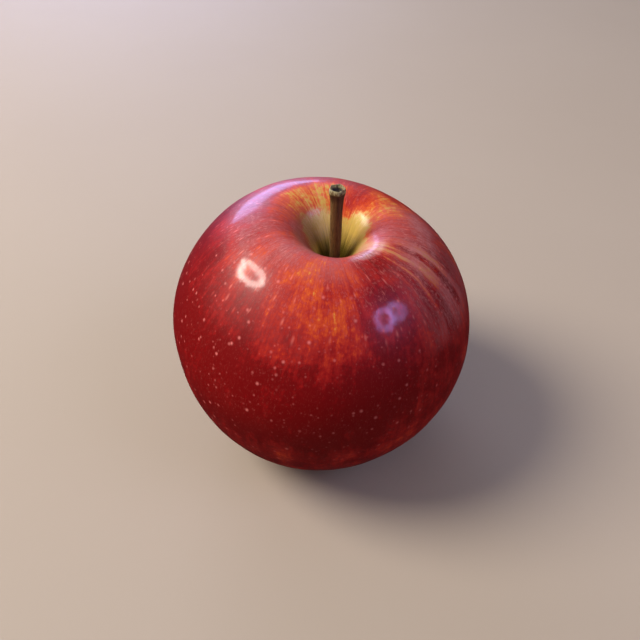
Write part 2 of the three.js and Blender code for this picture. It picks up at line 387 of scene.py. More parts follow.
def spun(piece, columns):
    """Spins an outline once round the Z axis and closes the seam."""
    in_edit_mode(piece)
    bpy.ops.mesh.spin(steps=columns, angle=TAU, center=(0, 0, 0), axis=(0, 0, 1))
    bpy.ops.mesh.select_all(action="SELECT")
    bpy.ops.mesh.remove_doubles(threshold=0.002 * MM)
    bpy.ops.mesh.normals_make_consistent(inside=False)
    bpy.ops.object.mode_set(mode="OBJECT")
    return piece


def places(piece):
    co = np.empty(len(piece.data.vertices) * 3)
    piece.data.vertices.foreach_get("co", co)
    return co.reshape(-1, 3)


def put_places(piece, co):
    piece.data.vertices.foreach_set("co", np.ravel(co))
    piece.data.update()


def keep_vectors(piece, name, values):
    """Keeps a vector for each vertex, for the material to read."""
    attribute = piece.data.attributes.new(name, "FLOAT_VECTOR", "POINT")
    attribute.data.foreach_set("vector", np.ravel(values))


def finished(piece, sharp_from, material, node):
    """Smooths a piece up to an angle in degrees, gives it its material, and says which node it stands for."""
    make_active(piece)
    bpy.ops.object.shade_smooth_by_angle(angle=math.radians(sharp_from))
    piece.data.materials.clear()
    piece.data.materials.append(material)
    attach(piece, BODY)
    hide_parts(node)
    check_size(piece, node)


def check_size(piece, node):
    """A new piece has to be the size of the node that it stands for."""
    co = places(piece)
    worst = abs(np.array([co.min(0), co.max(0)]) - np.array(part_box(node))).max()
    if worst > SAME_SIZE:
        raise RuntimeError(f"{piece.name} is {worst / MM:.2f} mm off the node {node}")


def smoothstep(value):
    t = np.clip(value, 0, 1)
    return t * t * (3 - 2 * t)


# -------- the fruit

def fruit_knots(form):
    """The outline's knots from the calyx basin to the stem hole, with how far it runs on past each."""
    eye = (form.eye_hole, form.basin_depth)
    base = (form.base_radius, 0)
    widest = (form.widest_radius, form.widest_height)
    crest = (form.crest_radius, form.crest_height)
    floor = (form.stem_hole, form.crest_height - form.cavity_depth)
    return [
        (eye, (0, 0), (2.4 * MM, 0)),
        (base, (-4.6 * MM, 0), (12.6 * MM, 0)),
        (widest, (0, -15.2 * MM), (0, 17 * MM)),
        (crest, (7.1 * MM, 0), (-5.8 * MM, 0)),
        (floor, (2.2 * MM, 6.8 * MM), (0, 0)),
    ]


def way_along(outline):
    """How far along the outline each of its points is, as a share, looked up by radius and height."""
    co = outline[:, [0, 2]]
    steps = np.hypot(*np.diff(co, axis=0).T)
    way = np.concatenate([[0], np.cumsum(steps)]) / steps.sum()
    tree = kdtree.KDTree(len(co))
    for index, (radius, height) in enumerate(co):
        tree.insert((radius, height, 0), index)
    tree.balance()
    return lambda radius, height: way[tree.find((radius, height, 0))[1]]


def grown(co, form):
    """Moves the points of the true turned form to where the fruit grew them."""
    groove_width = 6 * MM
    groove_height = 10 * MM
    x, y, z = co.T
    azimuth = np.arctan2(y, x)
    radius = np.hypot(x, y)
    climb = smoothstep((z - form.widest_height) / (form.crest_height - form.widest_height))
    descent = np.clip((form.crest_radius - radius) / (form.crest_radius - form.stem_hole), 0, 1)
    inside = (radius < form.crest_radius) & (z > form.widest_height)
    shift = np.where(inside, form.cavity_shift + form.floor_shift * descent, form.cavity_shift * climb)
    oval = form.oval * np.cos(2 * (azimuth - form.oval_azimuth))
    triangular = form.triangular * np.cos(3 * (azimuth - form.triangular_azimuth))
    swell = 1 + radius / form.widest_radius * (oval + triangular)
    x = x * swell
    y = y * swell
    fade = np.exp(-(((radius - form.base_radius) / groove_width) ** 2) - (z / groove_height) ** 2)
    groove = form.groove * (0.5 - 0.5 * np.cos(CROWN_LOBES * (azimuth - CROWN_AZIMUTH)))
    slope = (form.slope_x * x + form.slope_y * y) * (z / form.crest_height) ** 2
    z = np.maximum(z - slope + fade * (groove - form.flat), 0)
    return np.column_stack([x + shift, y, z]) + np.array(AXIS)


def uneven(piece, form):
    """Raises the slow, slight swellings of a real skin, away from the holes and the flats."""
    slow = 70
    quick = 150
    co = places(piece)
    normals = np.array([vertex.normal for vertex in piece.data.vertices])
    lift = [noise.noise(Vector(point) * slow) + 0.5 * noise.noise(Vector(point) * quick) for point in co]
    above_flats = smoothstep((co[:, 2] - 0.2 * MM) / (3 * MM))
    radius = np.hypot(co[:, 0] - AXIS.x - form.cavity_shift, co[:, 1] - AXIS.y)
    off_holes = smoothstep((radius - 2 * MM) / (4 * MM))
    put_places(piece, co + normals * (form.unevenness * np.array(lift) * (above_flats * off_holes))[:, None])


def bored(piece, radius, depth, upward):
    """Runs the open edge at one end of the fruit into a plain blind hole."""
    edge = radius + 0.01 * MM
    in_edit_mode(piece)
    select_where(piece, lambda co: math.hypot(co.x, co.y) < edge and (co.z < BETWEEN_HOLES) == upward)
    bpy.ops.mesh.extrude_region_move(TRANSFORM_OT_translate={"value": (0, 0, depth if upward else -depth)})
    bpy.ops.mesh.edge_face_add()
    bpy.ops.object.mode_set(mode="OBJECT")
    outward(piece)


class APPLE_OT_fruit(bpy.types.Operator):
    """Model the fruit and give it its skin"""

    bl_idname = "apple.fruit"
    bl_label = "Fruit"

    def execute(self, context):
        settings = context.scene.red_apple
        form = settings.form
        piece = drawn_outline("fruit_skin", fruit_knots(form), form.rows)
        way = way_along(places(piece))
        spun(piece, form.columns)
        bored(piece, form.eye_hole, form.eye_hole_depth, upward=True)
        bored(piece, form.stem_hole, form.stem_hole_depth, upward=False)
        co = places(piece)
        azimuth = np.arctan2(co[:, 1], co[:, 0])
        ways = [way(math.hypot(x, y), z) for x, y, z in co]
        keep_vectors(piece, "meridian", np.column_stack([np.cos(azimuth), np.sin(azimuth), ways]))
        put_places(piece, grown(co, form))
        uneven(piece, form)
        finished(piece, 50, skin_material(settings.skin), "fruit")
        return {"FINISHED"}


# Where the flush of red is denser or thinner: azimuth and half-width in degrees, the stretch of the way from
# eye to stem, how softly the stretch ends, and what is added to the density.
FLUSH_PATCHES = [
    (-90, 90, 0.20, 0.43, 0.06, -0.34),
    (-20, 55, 0.30, 0.64, 0.08, -0.26),
    (-98, 32, 0.67, 0.80, 0.08, -0.27),
    (-95, 50, 0.50, 0.60, 0.06, 0.08),
    (-58, 26, 0.58, 0.72, 0.09, 0.10),
    (-54, 19, 0.76, 0.83, 0.04, 0.26),
    (-23, 15, 0.74, 0.86, 0.06, -0.34),
    (0, 16, 0.69, 0.77, 0.05, 0.24),
    (20, 55, 0.50, 0.74, 0.08, -0.22),
    (-155, 45, 0.75, 0.82, 0.06, -0.12),
    (-185, 40, 0.60, 0.80, 0.08, 0.15),
    (-138, 45, 0.58, 0.74, 0.06, 0.07),
    (180, 60, 0.76, 0.80, 0.03, 0.12),
    (122, 62, 0.825, 0.96, 0.02, -0.56),
    (36, 26, 0.80, 0.96, 0.04, -0.55),
]

# Dark stripes down the right shoulder, in the same terms.
DARK_STRIPES = [
    (-18.5, 3.5, 0.66, 0.785, 0.06, 0.68),
    (-23.5, 2.4, 0.76, 0.83, 0.05, 0.22),
    (-31, 4, 0.64, 0.78, 0.07, 0.42),
    (-10, 3, 0.64, 0.74, 0.05, 0.30),
    (-38, 3.6, 0.68, 0.78, 0.06, 0.34),
]

# Where the pale haze lies, in the same terms: partly the skin's own pale wax, partly painted sheen of the
# lamps and the room.
BLOOM_PATCHES = [
    (-175, 64, 0.76, 0.86, 0.06, 0.30),
    (95, 50, 0.70, 0.82, 0.06, 0.22),
    (-105, 60, 0.82, 0.87, 0.05, 0.32),
    (-130, 45, 0.68, 0.78, 0.06, 0.06),
    (0, 42, 0.76, 0.86, 0.06, 0.36),
    (0, 40, 0.62, 0.76, 0.06, 0.24),
    (-28, 24, 0.64, 0.77, 0.05, 0.24),
]

# Where a whitish painted sheen lies round the cavity, in the same terms.
CAVITY_SHEEN_PATCHES = [
    (-38, 32, 0.84, 0.86, 0.015, 0.50),
    (-20, 34, 0.875, 0.90, 0.02, 0.22),
    (-232, 40, 0.89, 0.92, 0.02, 0.22),
]

# The shoulder whose streaks swing round towards the lip, in degrees, and how far they swing, in radians.
SWIRL_AZIMUTH = -35
SWIRL = 0.15


class SkinFinish(Finish):
    """A finish whose patterns run along the fruit's meridians, from eye to stem."""

    def __init__(self, name, **sockets):
        super().__init__(name, **sockets)
        self.spot = self.place()
        stray = self.noise(self.spot, 90, 4, 0.55, kind="Color")
        stray = self.scaled(stray, (0.06, 0.06, 0.03), (-0.03, -0.03, -0.015))
        strayed = self.vectors("ADD", self.own("meridian"), stray)
        self.way = self.split(strayed)[2]
        # near the lip the streaks of one shoulder swing round a little
        near = self.spread(self.facing_share(strayed, SWIRL_AZIMUTH), 0.3, 1, 0, SWIRL)
        feeds = {"Vector": strayed, "Angle": self.times(self.spread(self.way, 0.73, 0.86), near)}
        self.strayed = self.node("ShaderNodeVectorRotate", feeds, rotation_type="Z_AXIS").outputs[0]
        self.facing = self.vectors("NORMALIZE", self.vectors("MULTIPLY", self.strayed, (1, 1, 0)))

    def toward(self, azimuth, half_width):
        """1 on the side that faces an azimuth, falling to 0 a half-width away; both in degrees."""
        near = self.facing_share(self.facing, azimuth)
        return self.spread(near, math.cos(math.radians(half_width)), 1)

    def between(self, low, high, soft):
        """1 between two places on the way, fading over soft beyond them."""
        rise = self.spread(self.way, low - soft, low)
        fall = self.spread(self.way, high, high + soft, 1, 0)
        return self.times(rise, fall)

    def patch(self, azimuth, half_width, low, high, soft):
        return self.times(self.toward(azimuth, half_width), self.between(low, high, soft))

    def patches(self, table):
        """The sum of a table's patches, each times its amount."""
        total = 0
        for *area, amount in table:
            total = self.add(total, self.times(self.patch(*area), amount))
        return total

    def streaks(self, around, along, detail=3, roughness=0.6):
        """Noise from -0.5 to 0.5, drawn out along the way."""
        drawn = self.noise(self.scaled(self.strayed, (around, around, along)), 1, detail, roughness)
        return self.add(drawn, -0.5)

    def clouds(self, scale, detail=4, roughness=0.6):
        """Noise from -0.5 to 0.5 with no direction."""
        return self.add(self.noise(self.spot, scale, detail, roughness), -0.5)

    def speckle(self, vector, scale, size, keep):
        """Soft spots: size is a share of their spacing, and keep is the share of them that is kept."""
        feeds = {"Vector": vector, "Scale": scale, "Randomness": 1}
        cells = self.node("ShaderNodeTexVoronoi", feeds, feature="F1")
        chance, weight = self.split(cells.outputs["Color"])[:2]
        kept = self.maths("GREATER_THAN", chance, 1 - keep)
        reach = self.times(size, self.add(0.55, self.times(weight, 0.75)))
        near = self.maths("DIVIDE", cells.outputs["Distance"], reach)
        shown = self.times(kept, self.add(0.35, self.times(weight, 0.65)))
        return self.times(self.spread(near, -0.1, 1.15, 1, 0), shown)


def skin_material(look):
    """Red skin over a golden ground, streaked from eye to stem, dotted with pores, and waxed, with painted
    sheen towards the stem and painted shade in the cavity.
    """
    skin = SkinFinish("apple_skin", **{
        "Roughness": 0.45, "IOR": 1.45, "Specular IOR Level": 0.14,
        "Coat Weight": 0.21, "Coat Roughness": 0.065, "Coat IOR": 1.45,
    })
    stripes = skin.streaks(20, 8)
    threads = skin.streaks(50, 40)
    grain = skin.streaks(110, 170, 3, 0.65)
    clouds = skin.clouds(170)
    grit = skin.clouds(950, 2, 0.5)
    fibres = skin.add(threads, grain)

    # The flush is full below, and thins out towards the stem, where its edge is fingered.
    dark = skin.patches(DARK_STRIPES)
    shoulder = skin.patch(-20, 40, 0.62, 0.86, 0.06)
    thinning = skin.times(skin.spread(skin.way, 0.56, 0.76), -0.46)
    striped = skin.times(stripes, skin.add(0.7, skin.times(shoulder, 0.5)))
    density = skin.add(1.02, thinning, skin.patches(FLUSH_PATCHES), dark, striped)
    bands = skin.streaks(6, 5)
    for layer, amount in ((bands, 0.6), (clouds, 1.1), (threads, 0.55), (grain, 0.6), (grit, 0.7)):
        density = skin.add(density, skin.times(layer, amount))
    fingers = skin.add(skin.times(stripes, 0.06), skin.times(fibres, 0.045))
    edge = skin.add(skin.way, skin.add(fingers, skin.times(clouds, 0.05)),
                    skin.times(skin.toward(120, 70), -0.016), skin.times(skin.toward(-135, 80), -0.03))
    round_stem = skin.spread(edge, 0.850, 0.915, 0, -1)
    round_eye = skin.spread(edge, -0.01, 0.13, -0.95, 0)
    density = skin.add(density, round_stem, round_eye)

    flush = skin.ramp(density, [
        (0.05, look.orange), (0.30, look.scarlet), (0.52, look.red), (0.78, look.crimson), (1, look.maroon),
    ])
    mottle = skin.add(fibres, clouds)
    paler = skin.mix(skin.spread(mottle, -0.08, 0.24), look.gold, look.straw)
    # Towards the stem hole the ground turns olive, darkened there as painted shade.
    ground = skin.mix(skin.spread(edge, 0.885, 0.96), paler, look.olive)
    tint = skin.mix(skin.spread(density, -0.30, 0.12), ground, flush)
    tan = skin.times(skin.patch(-26, 26, 0.75, 0.90, 0.09), skin.spread(density, -0.05, 0.60, 0.9, 0))
    # Painted shade over the cavity's left wall, away from the key lamp.
    cavity_shade = skin.times(skin.patch(-175, 72, 0.880, 0.92, 0.025), 0.66)
    patchy = skin.add(0.9, skin.times(mottle, 2.2), skin.add(skin.times(grit, 0.9), skin.times(dark, -0.8)))
    # Pale haze: partly the skin's own wax, partly painted sheen of the lamps and the room.
    bloom_and_sheen = skin.times(skin.patches(BLOOM_PATCHES), patchy)
    # Painted whitish sheen round the cavity.
    cavity_sheen = skin.times(skin.patches(CAVITY_SHEEN_PATCHES), skin.add(0.8, skin.times(fibres, 3)))
    # A fine pale speckle high on the fruit, partly painted sheen of the wax.
    salt_sheen = skin.times(skin.spread(skin.add(grain, grit), 0.03, 0.26), skin.between(0.76, 0.85, 0.10))
    salt_sheen = skin.add(skin.times(salt_sheen, 0.20), skin.times(skin.spread(grain, 0.04, 0.20), 0.07))
    dashes = skin.speckle(skin.scaled(skin.strayed, (24, 24, 38)), 1, 0.30, 0.6)
    dashes = skin.times(dashes, skin.times(skin.between(0.70, 0.87, 0.05), 0.65))
    flecks = skin.maths("MAXIMUM", salt_sheen, dashes)
    # The big dots are stronger higher up and towards the left front, under the key lamp, where they are
    # partly painted glints.
    plain = skin.add(skin.spread(skin.way, 0.4, 0.62, 0.26, 0.54), skin.times(skin.toward(-155, 75), 0.38))
    big = skin.times(skin.speckle(skin.spot, 540, 0.23, 0.8), plain)
    small = skin.times(skin.speckle(skin.spot, 800, 0.20, 0.6), 0.24)
    dots = skin.times(skin.maths("MAXIMUM", big, small), skin.spread(skin.way, 0.74, 0.82, 1, 0))
    for cover, light in ((tan, look.tan), (cavity_shade, look.cavity_shade), (bloom_and_sheen, look.haze), (cavity_sheen, look.cavity_sheen),
                         (flecks, look.fleck), (dots, look.dot)):
        tint = skin.mix(cover, tint, light)

    fine = skin.noise(skin.spot, 2400, 2, 0.6)
    coarse = skin.noise(skin.spot, 1000, 3, 0.6)
    russet = skin.times(fibres, skin.spread(skin.way, 0.86, 0.92))
    normal = None
    for relief, height in ((fine, 0.010), (coarse, 0.018), (threads, 0.006), (russet, 0.10), (dots, 0.012)):
        normal = skin.bump(relief, height * MM, 1, normal)
    skin.wear(Base_Color=tint, Normal=normal, Coat_Normal=normal)
    return skin.material


# -------- the stem

def stem_knots(form):
    """The stem's outline: a slender foot, a thickening shaft, a flared head and its sunken end."""
    top = form.length
    head = form.head_radius
    still = (0, 0)
    return [
        ((0, 0), still, still),
        ((form.foot_radius, 0), still, (0, 0.1 * top)),
        ((form.foot_radius, 0.3 * top),),
        ((1.36 * MM, 0.6 * top),),
        ((1.38 * MM, 0.82 * top),),
        ((0.84 * head, 0.92 * top),),
        ((0.98 * head, 0.965 * top),),
        ((0.96 * head, 0.99 * top),),
        ((0.86 * head, top),),
        ((0.78 * head, top - 0.4 * MM),),
        ((0.5 * head, top - 1.2 * MM),),
        ((0, top - 1.0 * MM), (0.1 * head, 0), still),
    ]


def barked(co, azimuth, height, form):
    """Raises the ribs and wrinkles of a stem, and breaks up its rim and its sunken end."""
    ragged = 0.10 * MM
    spoked = 0.09 * MM
    radius = np.hypot(co[:, 0], co[:, 1])
    rib = form.rib_depth * smoothstep(4 * height - 0.8) * np.cos(form.ribs * azimuth + height)
    wrinkle = np.array([bark_wrinkle(turn, up) for turn, up in zip(azimuth, height)])
    fade = smoothstep((height - 0.02) / 0.1)
    outside = (height < 0.985) | (radius > 0.85 * form.head_radius)
    co[:, :2] *= (1 + rib + 0.05 * wrinkle * fade * outside)[:, None]
    near_end = smoothstep((height - 0.955) / 0.03)
    inner = smoothstep((0.9 - radius / form.head_radius) / 0.15)
    spokes = inner * smoothstep(radius / form.head_radius / 0.3) * np.cos(11 * azimuth + 3 * wrinkle)
    co[:, 2] += (ragged * (wrinkle - 0.6) * (1 - inner) + spoked * spokes) * near_end
    return co


def leaned(co, form):
    """Bends an upright stem, from its foot up."""
    height = np.maximum(co[:, 2], 0) / form.length
    lean = np.column_stack([form.lean_x * height ** 1.6, form.lean_y * height ** 1.3, 0 * height])
    return co + lean


class APPLE_OT_stem(bpy.types.Operator):
    """Model the stem with its ribs, wrinkles and broken end"""

    bl_idname = "apple.stem"
    bl_label = "Stem"

    def execute(self, context):
        settings = context.scene.red_apple
        form = settings.stem
        fruit = settings.form
        piece = spun(drawn_outline("stem_bark", stem_knots(form), 14), form.columns)
        co = places(piece)
        azimuth = np.arctan2(co[:, 1], co[:, 0])
        height = np.maximum(co[:, 2], 0) / form.length
        keep_vectors(piece, "meridian", np.column_stack([np.cos(azimuth), np.sin(azimuth), height]))
        keep_vectors(piece, "upright", co)
        co = leaned(barked(co, azimuth, height, form), form)
        foot = fruit.crest_height - fruit.cavity_depth - fruit.stem_hole_depth + GAP
        co += np.array([AXIS.x + fruit.cavity_shift + fruit.floor_shift, AXIS.y, foot])
        put_places(piece, co)
        finished(piece, 60, bark_material(settings.bark), "stem")
        return {"FINISHED"}


def bark_wrinkle(turn, up):
    """Long wrinkles up the shaft, with finer ones over them."""
    around = Vector((math.cos(turn), math.sin(turn), 0))
    long = noise.noise(around * 2.6 + Vector((0, 0, 5 * up)))
    fine = noise.noise(around * 7.0 + Vector((9, 0, 16 * up)))
    return long + 0.5 * fine


def bark_material(look):
    """Brown bark, paler on the side towards the key lamp as a painted highlight, and streaked, with painted
    shade under the head, and a pale broken rim round a dark hollow, darkened further as painted shade.
    """
    bark = Finish("stem_bark", **{"Roughness": 0.62, "Specular IOR Level": 0.35})
    meridian = bark.own("meridian")
    upright = bark.own("upright")
    x, _, height = bark.split(meridian)
    streaks = bark.noise(bark.scaled(meridian, (5, 5, 7)), 1, 4, 0.65)
    grains = bark.noise(bark.scaled(upright, (2600, 2600, 700)), 1, 3, 0.6)
    # Painted highlight: the shaft is paler on its -X side, towards the key lamp, broken up by streaks.
    painted_lit_side = bark.spread(bark.add(bark.times(x, -1), bark.times(bark.add(streaks, -0.5), 2.2)), 0, 1.1)
    tint = bark.mix(bark.times(painted_lit_side, 0.75), look.bark, look.olive)
    foot = bark.spread(height, 0.1, 0.42, 0.7, 0)
    # Painted shade just under the flared head.
    shade_under_head = bark.times(bark.spread(height, 0.86, 0.93), bark.spread(height, 0.945, 0.965, 0.7, 0))
    lines = bark.spread(streaks, 0.50, 0.66, 0, 0.75)
    for cover in (lines, foot, bark.spread(grains, 0.35, 0.7, 0.35, 0), shade_under_head):
        tint = bark.mix(cover, tint, look.dark)
    end = bark.spread(height, 0.955, 0.975)
    tint = bark.mix(bark.times(end, bark.spread(grains, 0.3, 0.6)), tint, look.rim)
    radius = bark.vectors("LENGTH", bark.vectors("MULTIPLY", upright, (1, 1, 0)), result="Value")
    inside = bark.spread(radius, 1.2 * MM, 1.45 * MM, 1, 0)
    # The sunken end: its own dark brown, darkened further as painted shade.
    tint = bark.mix(bark.times(inside, bark.spread(height, 0.93, 0.96)), tint, look.hollow)
    normal = bark.bump(grains, 0.12 * MM, 0.7)
    normal = bark.bump(streaks, 0.25 * MM, 0.6, normal)
    bark.wear(Base_Color=tint, Normal=normal)
    return bark.material


# -------- the dried flower

FLOWER_SEED = 11
DOWN_SEED = 5
HAIRS = 320
STAMEN_STEPS = 14


class Draws:
    """Repeatable draws from 0 to 1, the same that the solids were grown with."""

    def __init__(self, seed):
        self.state = seed

    def next(self):
        keep = 0xFFFFFFFF
        self.state = (self.state + 0x6D2B79F5) & keep
        mixed = ((self.state ^ (self.state >> 15)) * (1 | self.state)) & keep
        mixed ^= (mixed + (mixed ^ (mixed >> 7)) * (61 | mixed)) & keep
        return ((mixed ^ (mixed >> 14)) & keep) / 2 ** 32


def joined(pieces, name):
    """Joins pieces into the first of them."""
    clear_selection()
    for piece in pieces:
        piece.select_set(True)
    bpy.context.view_layer.objects.active = pieces[0]
    if len(pieces) > 1:
        bpy.ops.object.join()
    piece = bpy.context.object
    piece.name = name
    piece.data.name = name
    return piece


def hung(piece, form):
    """Turns a flower piece tips down, and hangs it in the calyx basin."""
    co = places(piece)
    co[:, 1:] *= -1
    put_places(piece, co + np.array([AXIS.x, AXIS.y, form.basin_depth]))


def modified(piece, kind, **settings):
    """Adds a modifier and applies it."""
    make_active(piece)
    modifier = piece.modifiers.new(kind.lower(), kind)
    for key, value in settings.items():
        setattr(modifier, key, value)
    bpy.ops.object.modifier_apply(modifier=modifier.name)


def sepal(flower, length_now, curl, turn, index):
    """One dried blade: it closes in over the eye, then curls back outward, with a wavy edge."""
    clear_selection()
    bpy.ops.mesh.primitive_grid_add(x_subdivisions=10, y_subdivisions=26, size=2)
    piece = bpy.context.object
    co = places(piece)
    s = (co[:, 1] + 1) / 2
    side = co[:, 0]
    width = flower.sepal_width * (1 - s ** 1.7) * (1 - 0.1 * s) + 0.5 * MM * s
    across = side * width / 2
    wave = np.array([noise.noise(Vector((3 * a + 7 * index, 6 * b, index))) for a, b in zip(side, s)])
    reach = flower.bore + 0.6 * MM - 0.5 * MM * np.sin(math.pi * 0.62 * s) + curl * s ** 3
    height = length_now * (s - 0.15 * s ** 3) - 0.8 * MM
    cup = 0.12 / MM * across ** 2
    through = 0.22 * MM * wave * smoothstep(s * 2) - cup + 0.12 * MM * np.exp(-((side / 0.12) ** 2))
    tip = 0.5 * s
    out = reach + through * np.cos(tip)
    put_places(piece, np.column_stack([out, across, height - through * np.sin(tip)]))
    keep_vectors(piece, "blade", np.column_stack([side, s, np.full_like(s, index)]))
    modified(piece, "SOLIDIFY", thickness=flower.sepal_thickness * 0.75, offset=0)
    modified(piece, "SUBSURF", levels=1, render_levels=1)
    x, y, z = places(piece).T
    cos = math.cos(turn)
    sin = math.sin(turn)
    put_places(piece, np.column_stack([x * cos - y * sin, x * sin + y * cos, z]))
    return piece


def ring_knots(flower):
    """The ring that the sepals grow from, as a closed outline."""
    bore = flower.bore
    rim = flower.ring_radius
    foot = -2.2 * MM
    top = 0.3 * MM
    corners = [(bore, foot), (rim, foot), (rim, -0.1 * MM), (rim - 0.3 * MM, top), (bore, top), (bore, foot)]
    return [(corner, (0, 0), (0, 0)) for corner in corners]


def hairs(spots, size):
    """Fine down: a thin cone for each spot, which is a foot and a tip."""
    made = []
    for foot, tip in spots:
        clear_selection()
        way = tip - foot
        turn = way.to_track_quat("Z", "Y").to_euler()
        bpy.ops.mesh.primitive_cone_add(vertices=4, radius1=size, radius2=size * 0.2, depth=way.length,
                                        location=(foot + tip) / 2, rotation=turn)
        bpy.ops.object.transform_apply(location=True, rotation=True, scale=True)
        made.append(bpy.context.object)
    return made


class APPLE_OT_sepals(bpy.types.Operator):
    """Model the ring and the dried sepals in the calyx basin"""

    bl_idname = "apple.sepals"
    bl_label = "Sepals"

    def execute(self, context):
        settings = context.scene.red_apple
        flower = settings.flower
        draws = Draws(FLOWER_SEED)
        parts = []
        for index in range(flower.sepals):
            length_now = flower.sepal_length * (0.9 + 0.2 * draws.next())
            curl = (1.2 + 1.2 * draws.next()) * MM
            turn = TAU * (index + 0.15 * draws.next()) / flower.sepals
            parts.append(sepal(flower, length_now, curl, turn, index))
        ring = spun(drawn_outline("ring", ring_knots(flower), 4), 48)
        keep_vectors(ring, "blade", np.zeros((len(ring.data.vertices), 3)))
        parts.append(ring)
        piece = joined(parts, "dried_sepals")
        outward(piece)
        grow_down(piece)
        hung(piece, settings.form)
        finished(piece, 50, sepal_material(settings.bark), "sepals")
        return {"FINISHED"}


def grow_down(piece):
    """Sets short hairs on the blades' faces, above the ring."""
    draw = random.Random(DOWN_SEED)
    least = 0.002 * MM * MM
    faces = [face for face in piece.data.polygons if face.area > least and face.center.z > 0.4 * MM]
    spots = []
    for face in draw.sample(faces, min(HAIRS, len(faces))):
        foot = face.center - face.normal * 0.05 * MM
        lean = Vector((draw.gauss(0, 0.5), draw.gauss(0, 0.5), draw.gauss(0.3, 0.4)))
        tip = face.center + (face.normal + lean).normalized() * draw.uniform(0.2, 0.45) * MM
        spots.append((foot, tip))
    joined([piece, *hairs(spots, 0.018 * MM)], piece.name)


def sepal_material(look):
    """Dry brown blades, darker to the tip and along the veins, dusted with grey down."""
    leaf = Finish("dried_sepal", **{"Roughness": 0.85, "Specular IOR Level": 0.2, "Sheen Weight": 0.25})
    blade = leaf.own("blade")
    along = leaf.split(blade)[1]
    patches = leaf.noise(leaf.place(), 900, 4, 0.6)
    veins = leaf.noise(leaf.scaled(blade, (9, 1.2, 3)), 1, 3, 0.6)
    tint = leaf.mix(leaf.spread(patches, 0.35, 0.68), look.sepal, look.down)
    tint = leaf.mix(leaf.spread(veins, 0.5, 0.66, 0, 0.7), tint, look.sepal_tip)
    tint = leaf.mix(leaf.spread(along, 0.45, 1, 0, 0.85), tint, look.sepal_tip)
    normal = leaf.bump(patches, 0.12 * MM, 0.6)
    normal = leaf.bump(veins, 0.1 * MM, 0.5, normal)
    leaf.wear(Base_Color=tint, Normal=normal)
    return leaf.material


def stamen(flower, foot, tip, index):
    """One dried stamen: a bent thread with a withered knob at its end."""
    clear_selection()
    bpy.ops.mesh.primitive_cylinder_add(vertices=10, radius=1, depth=1, end_fill_type="NGON")
    piece = bpy.context.object
    in_edit_mode(piece)
    select_where(piece, lambda co: co.z > 0.4)
    for _ in range(STAMEN_STEPS):
        bpy.ops.mesh.extrude_region_move(TRANSFORM_OT_translate={"value": (0, 0, 1)})
    bpy.ops.object.mode_set(mode="OBJECT")
    co = places(piece)
    s = (co[:, 2] - co[:, 2].min()) / np.ptp(co[:, 2])
    thread = 1.15 - 0.2 * smoothstep(s / 0.4)
    knob = 0.45 * np.exp(-(((s - 0.87) / 0.07) ** 2)) - 0.45 * smoothstep((s - 0.94) / 0.06)
    withered = [noise.noise(Vector((3 * x, 3 * y, 9 * up + index))) for (x, y, _), up in zip(co, s)]
    radius = flower.stamen_radius * (thread + knob) * (1 + 0.12 * np.array(withered))
    bend = 0.5 * np.sin(math.pi * s) * (1 - s)
    x = foot.x + (tip.x - foot.x) * s + foot.x * bend + co[:, 0] * radius
    y = foot.y + (tip.y - foot.y) * s + foot.y * bend + co[:, 1] * radius
    put_places(piece, np.column_stack([x, y, foot.z + (tip.z - foot.z) * s]))
    return piece


def disc_knots(flower):
    """The disc that the stamens stand on, inside the ring."""
    rim = flower.bore - GAP
    foot = -2 * MM
    top = -0.8 * MM
    corners = [(0, foot), (rim, foot), (rim, -1.2 * MM), (0.6 * rim, top), (0, top)]
    return [(corner, (0, 0), (0, 0)) for corner in corners]


class APPLE_OT_stamens(bpy.types.Operator):
    """Model the withered stamens on their disc"""

    bl_idname = "apple.stamens"
    bl_label = "Stamens"

    def execute(self, context):
        settings = context.scene.red_apple
        flower = settings.flower
        draws = Draws(FLOWER_SEED + 1)
        parts = [spun(drawn_outline("disc", disc_knots(flower), 4), 40)]
        for index in range(flower.stamens):
            turn = TAU * index / flower.stamens + 0.3 * draws.next()
            radius = (0.95 if index % 2 else 0.55) * MM
            foot = Vector((radius * math.cos(turn), radius * math.sin(turn), -1.5 * MM))
            spread = (0.35 + 0.55 * draws.next()) * MM
            height = flower.stamen_length * (0.75 + 0.3 * draws.next()) - 0.9 * MM
            tip = Vector((spread * math.cos(turn + 0.5), spread * math.sin(turn + 0.5), height))
            parts.append(stamen(flower, foot, tip, index))
        piece = joined(parts, "dried_stamens")
        outward(piece)
        hung(piece, settings.form)
        finished(piece, 50, stamen_material(settings.bark), "stamens")
        return {"FINISHED"}


def stamen_material(look):
    """Dark, brittle threads, paler where dust lies on them."""
    thread = Finish("dried_stamen", **{"Roughness": 0.9, "Specular IOR Level": 0.15})
    patches = thread.noise(thread.place(), 1400, 4, 0.6)
    tint = thread.mix(thread.spread(patches, 0.45, 0.75, 0, 0.6), look.thread, look.sepal)
    thread.wear(Base_Color=tint, Normal=thread.bump(patches, 0.1 * MM, 0.6))
    return thread.material


# -------- the stage

class APPLE_OT_stage(bpy.types.Operator):
    """Set up the floor, the lights and the camera"""

    bl_idname = "apple.stage"
    bl_label = "Stage"

    def execute(self, context):
        lay_floor()
        light_room()
        for lamp in LAMPS:
            hang_lamp(*lamp)
        set_camera()
        return {"FINISHED"}


# The floor's two colours, as light, and the room: its colour, its strength below the horizon and overhead,
# and how much paler the camera sees it.
FLOOR_TINTS = ((0.41, 0.35, 0.29), (0.44, 0.38, 0.32))
ROOM_TINT = (0.76, 0.72, 0.76)
ROOM_LOW = 0.02
ROOM_HIGH = 0.46
BACKDROP = 0.45

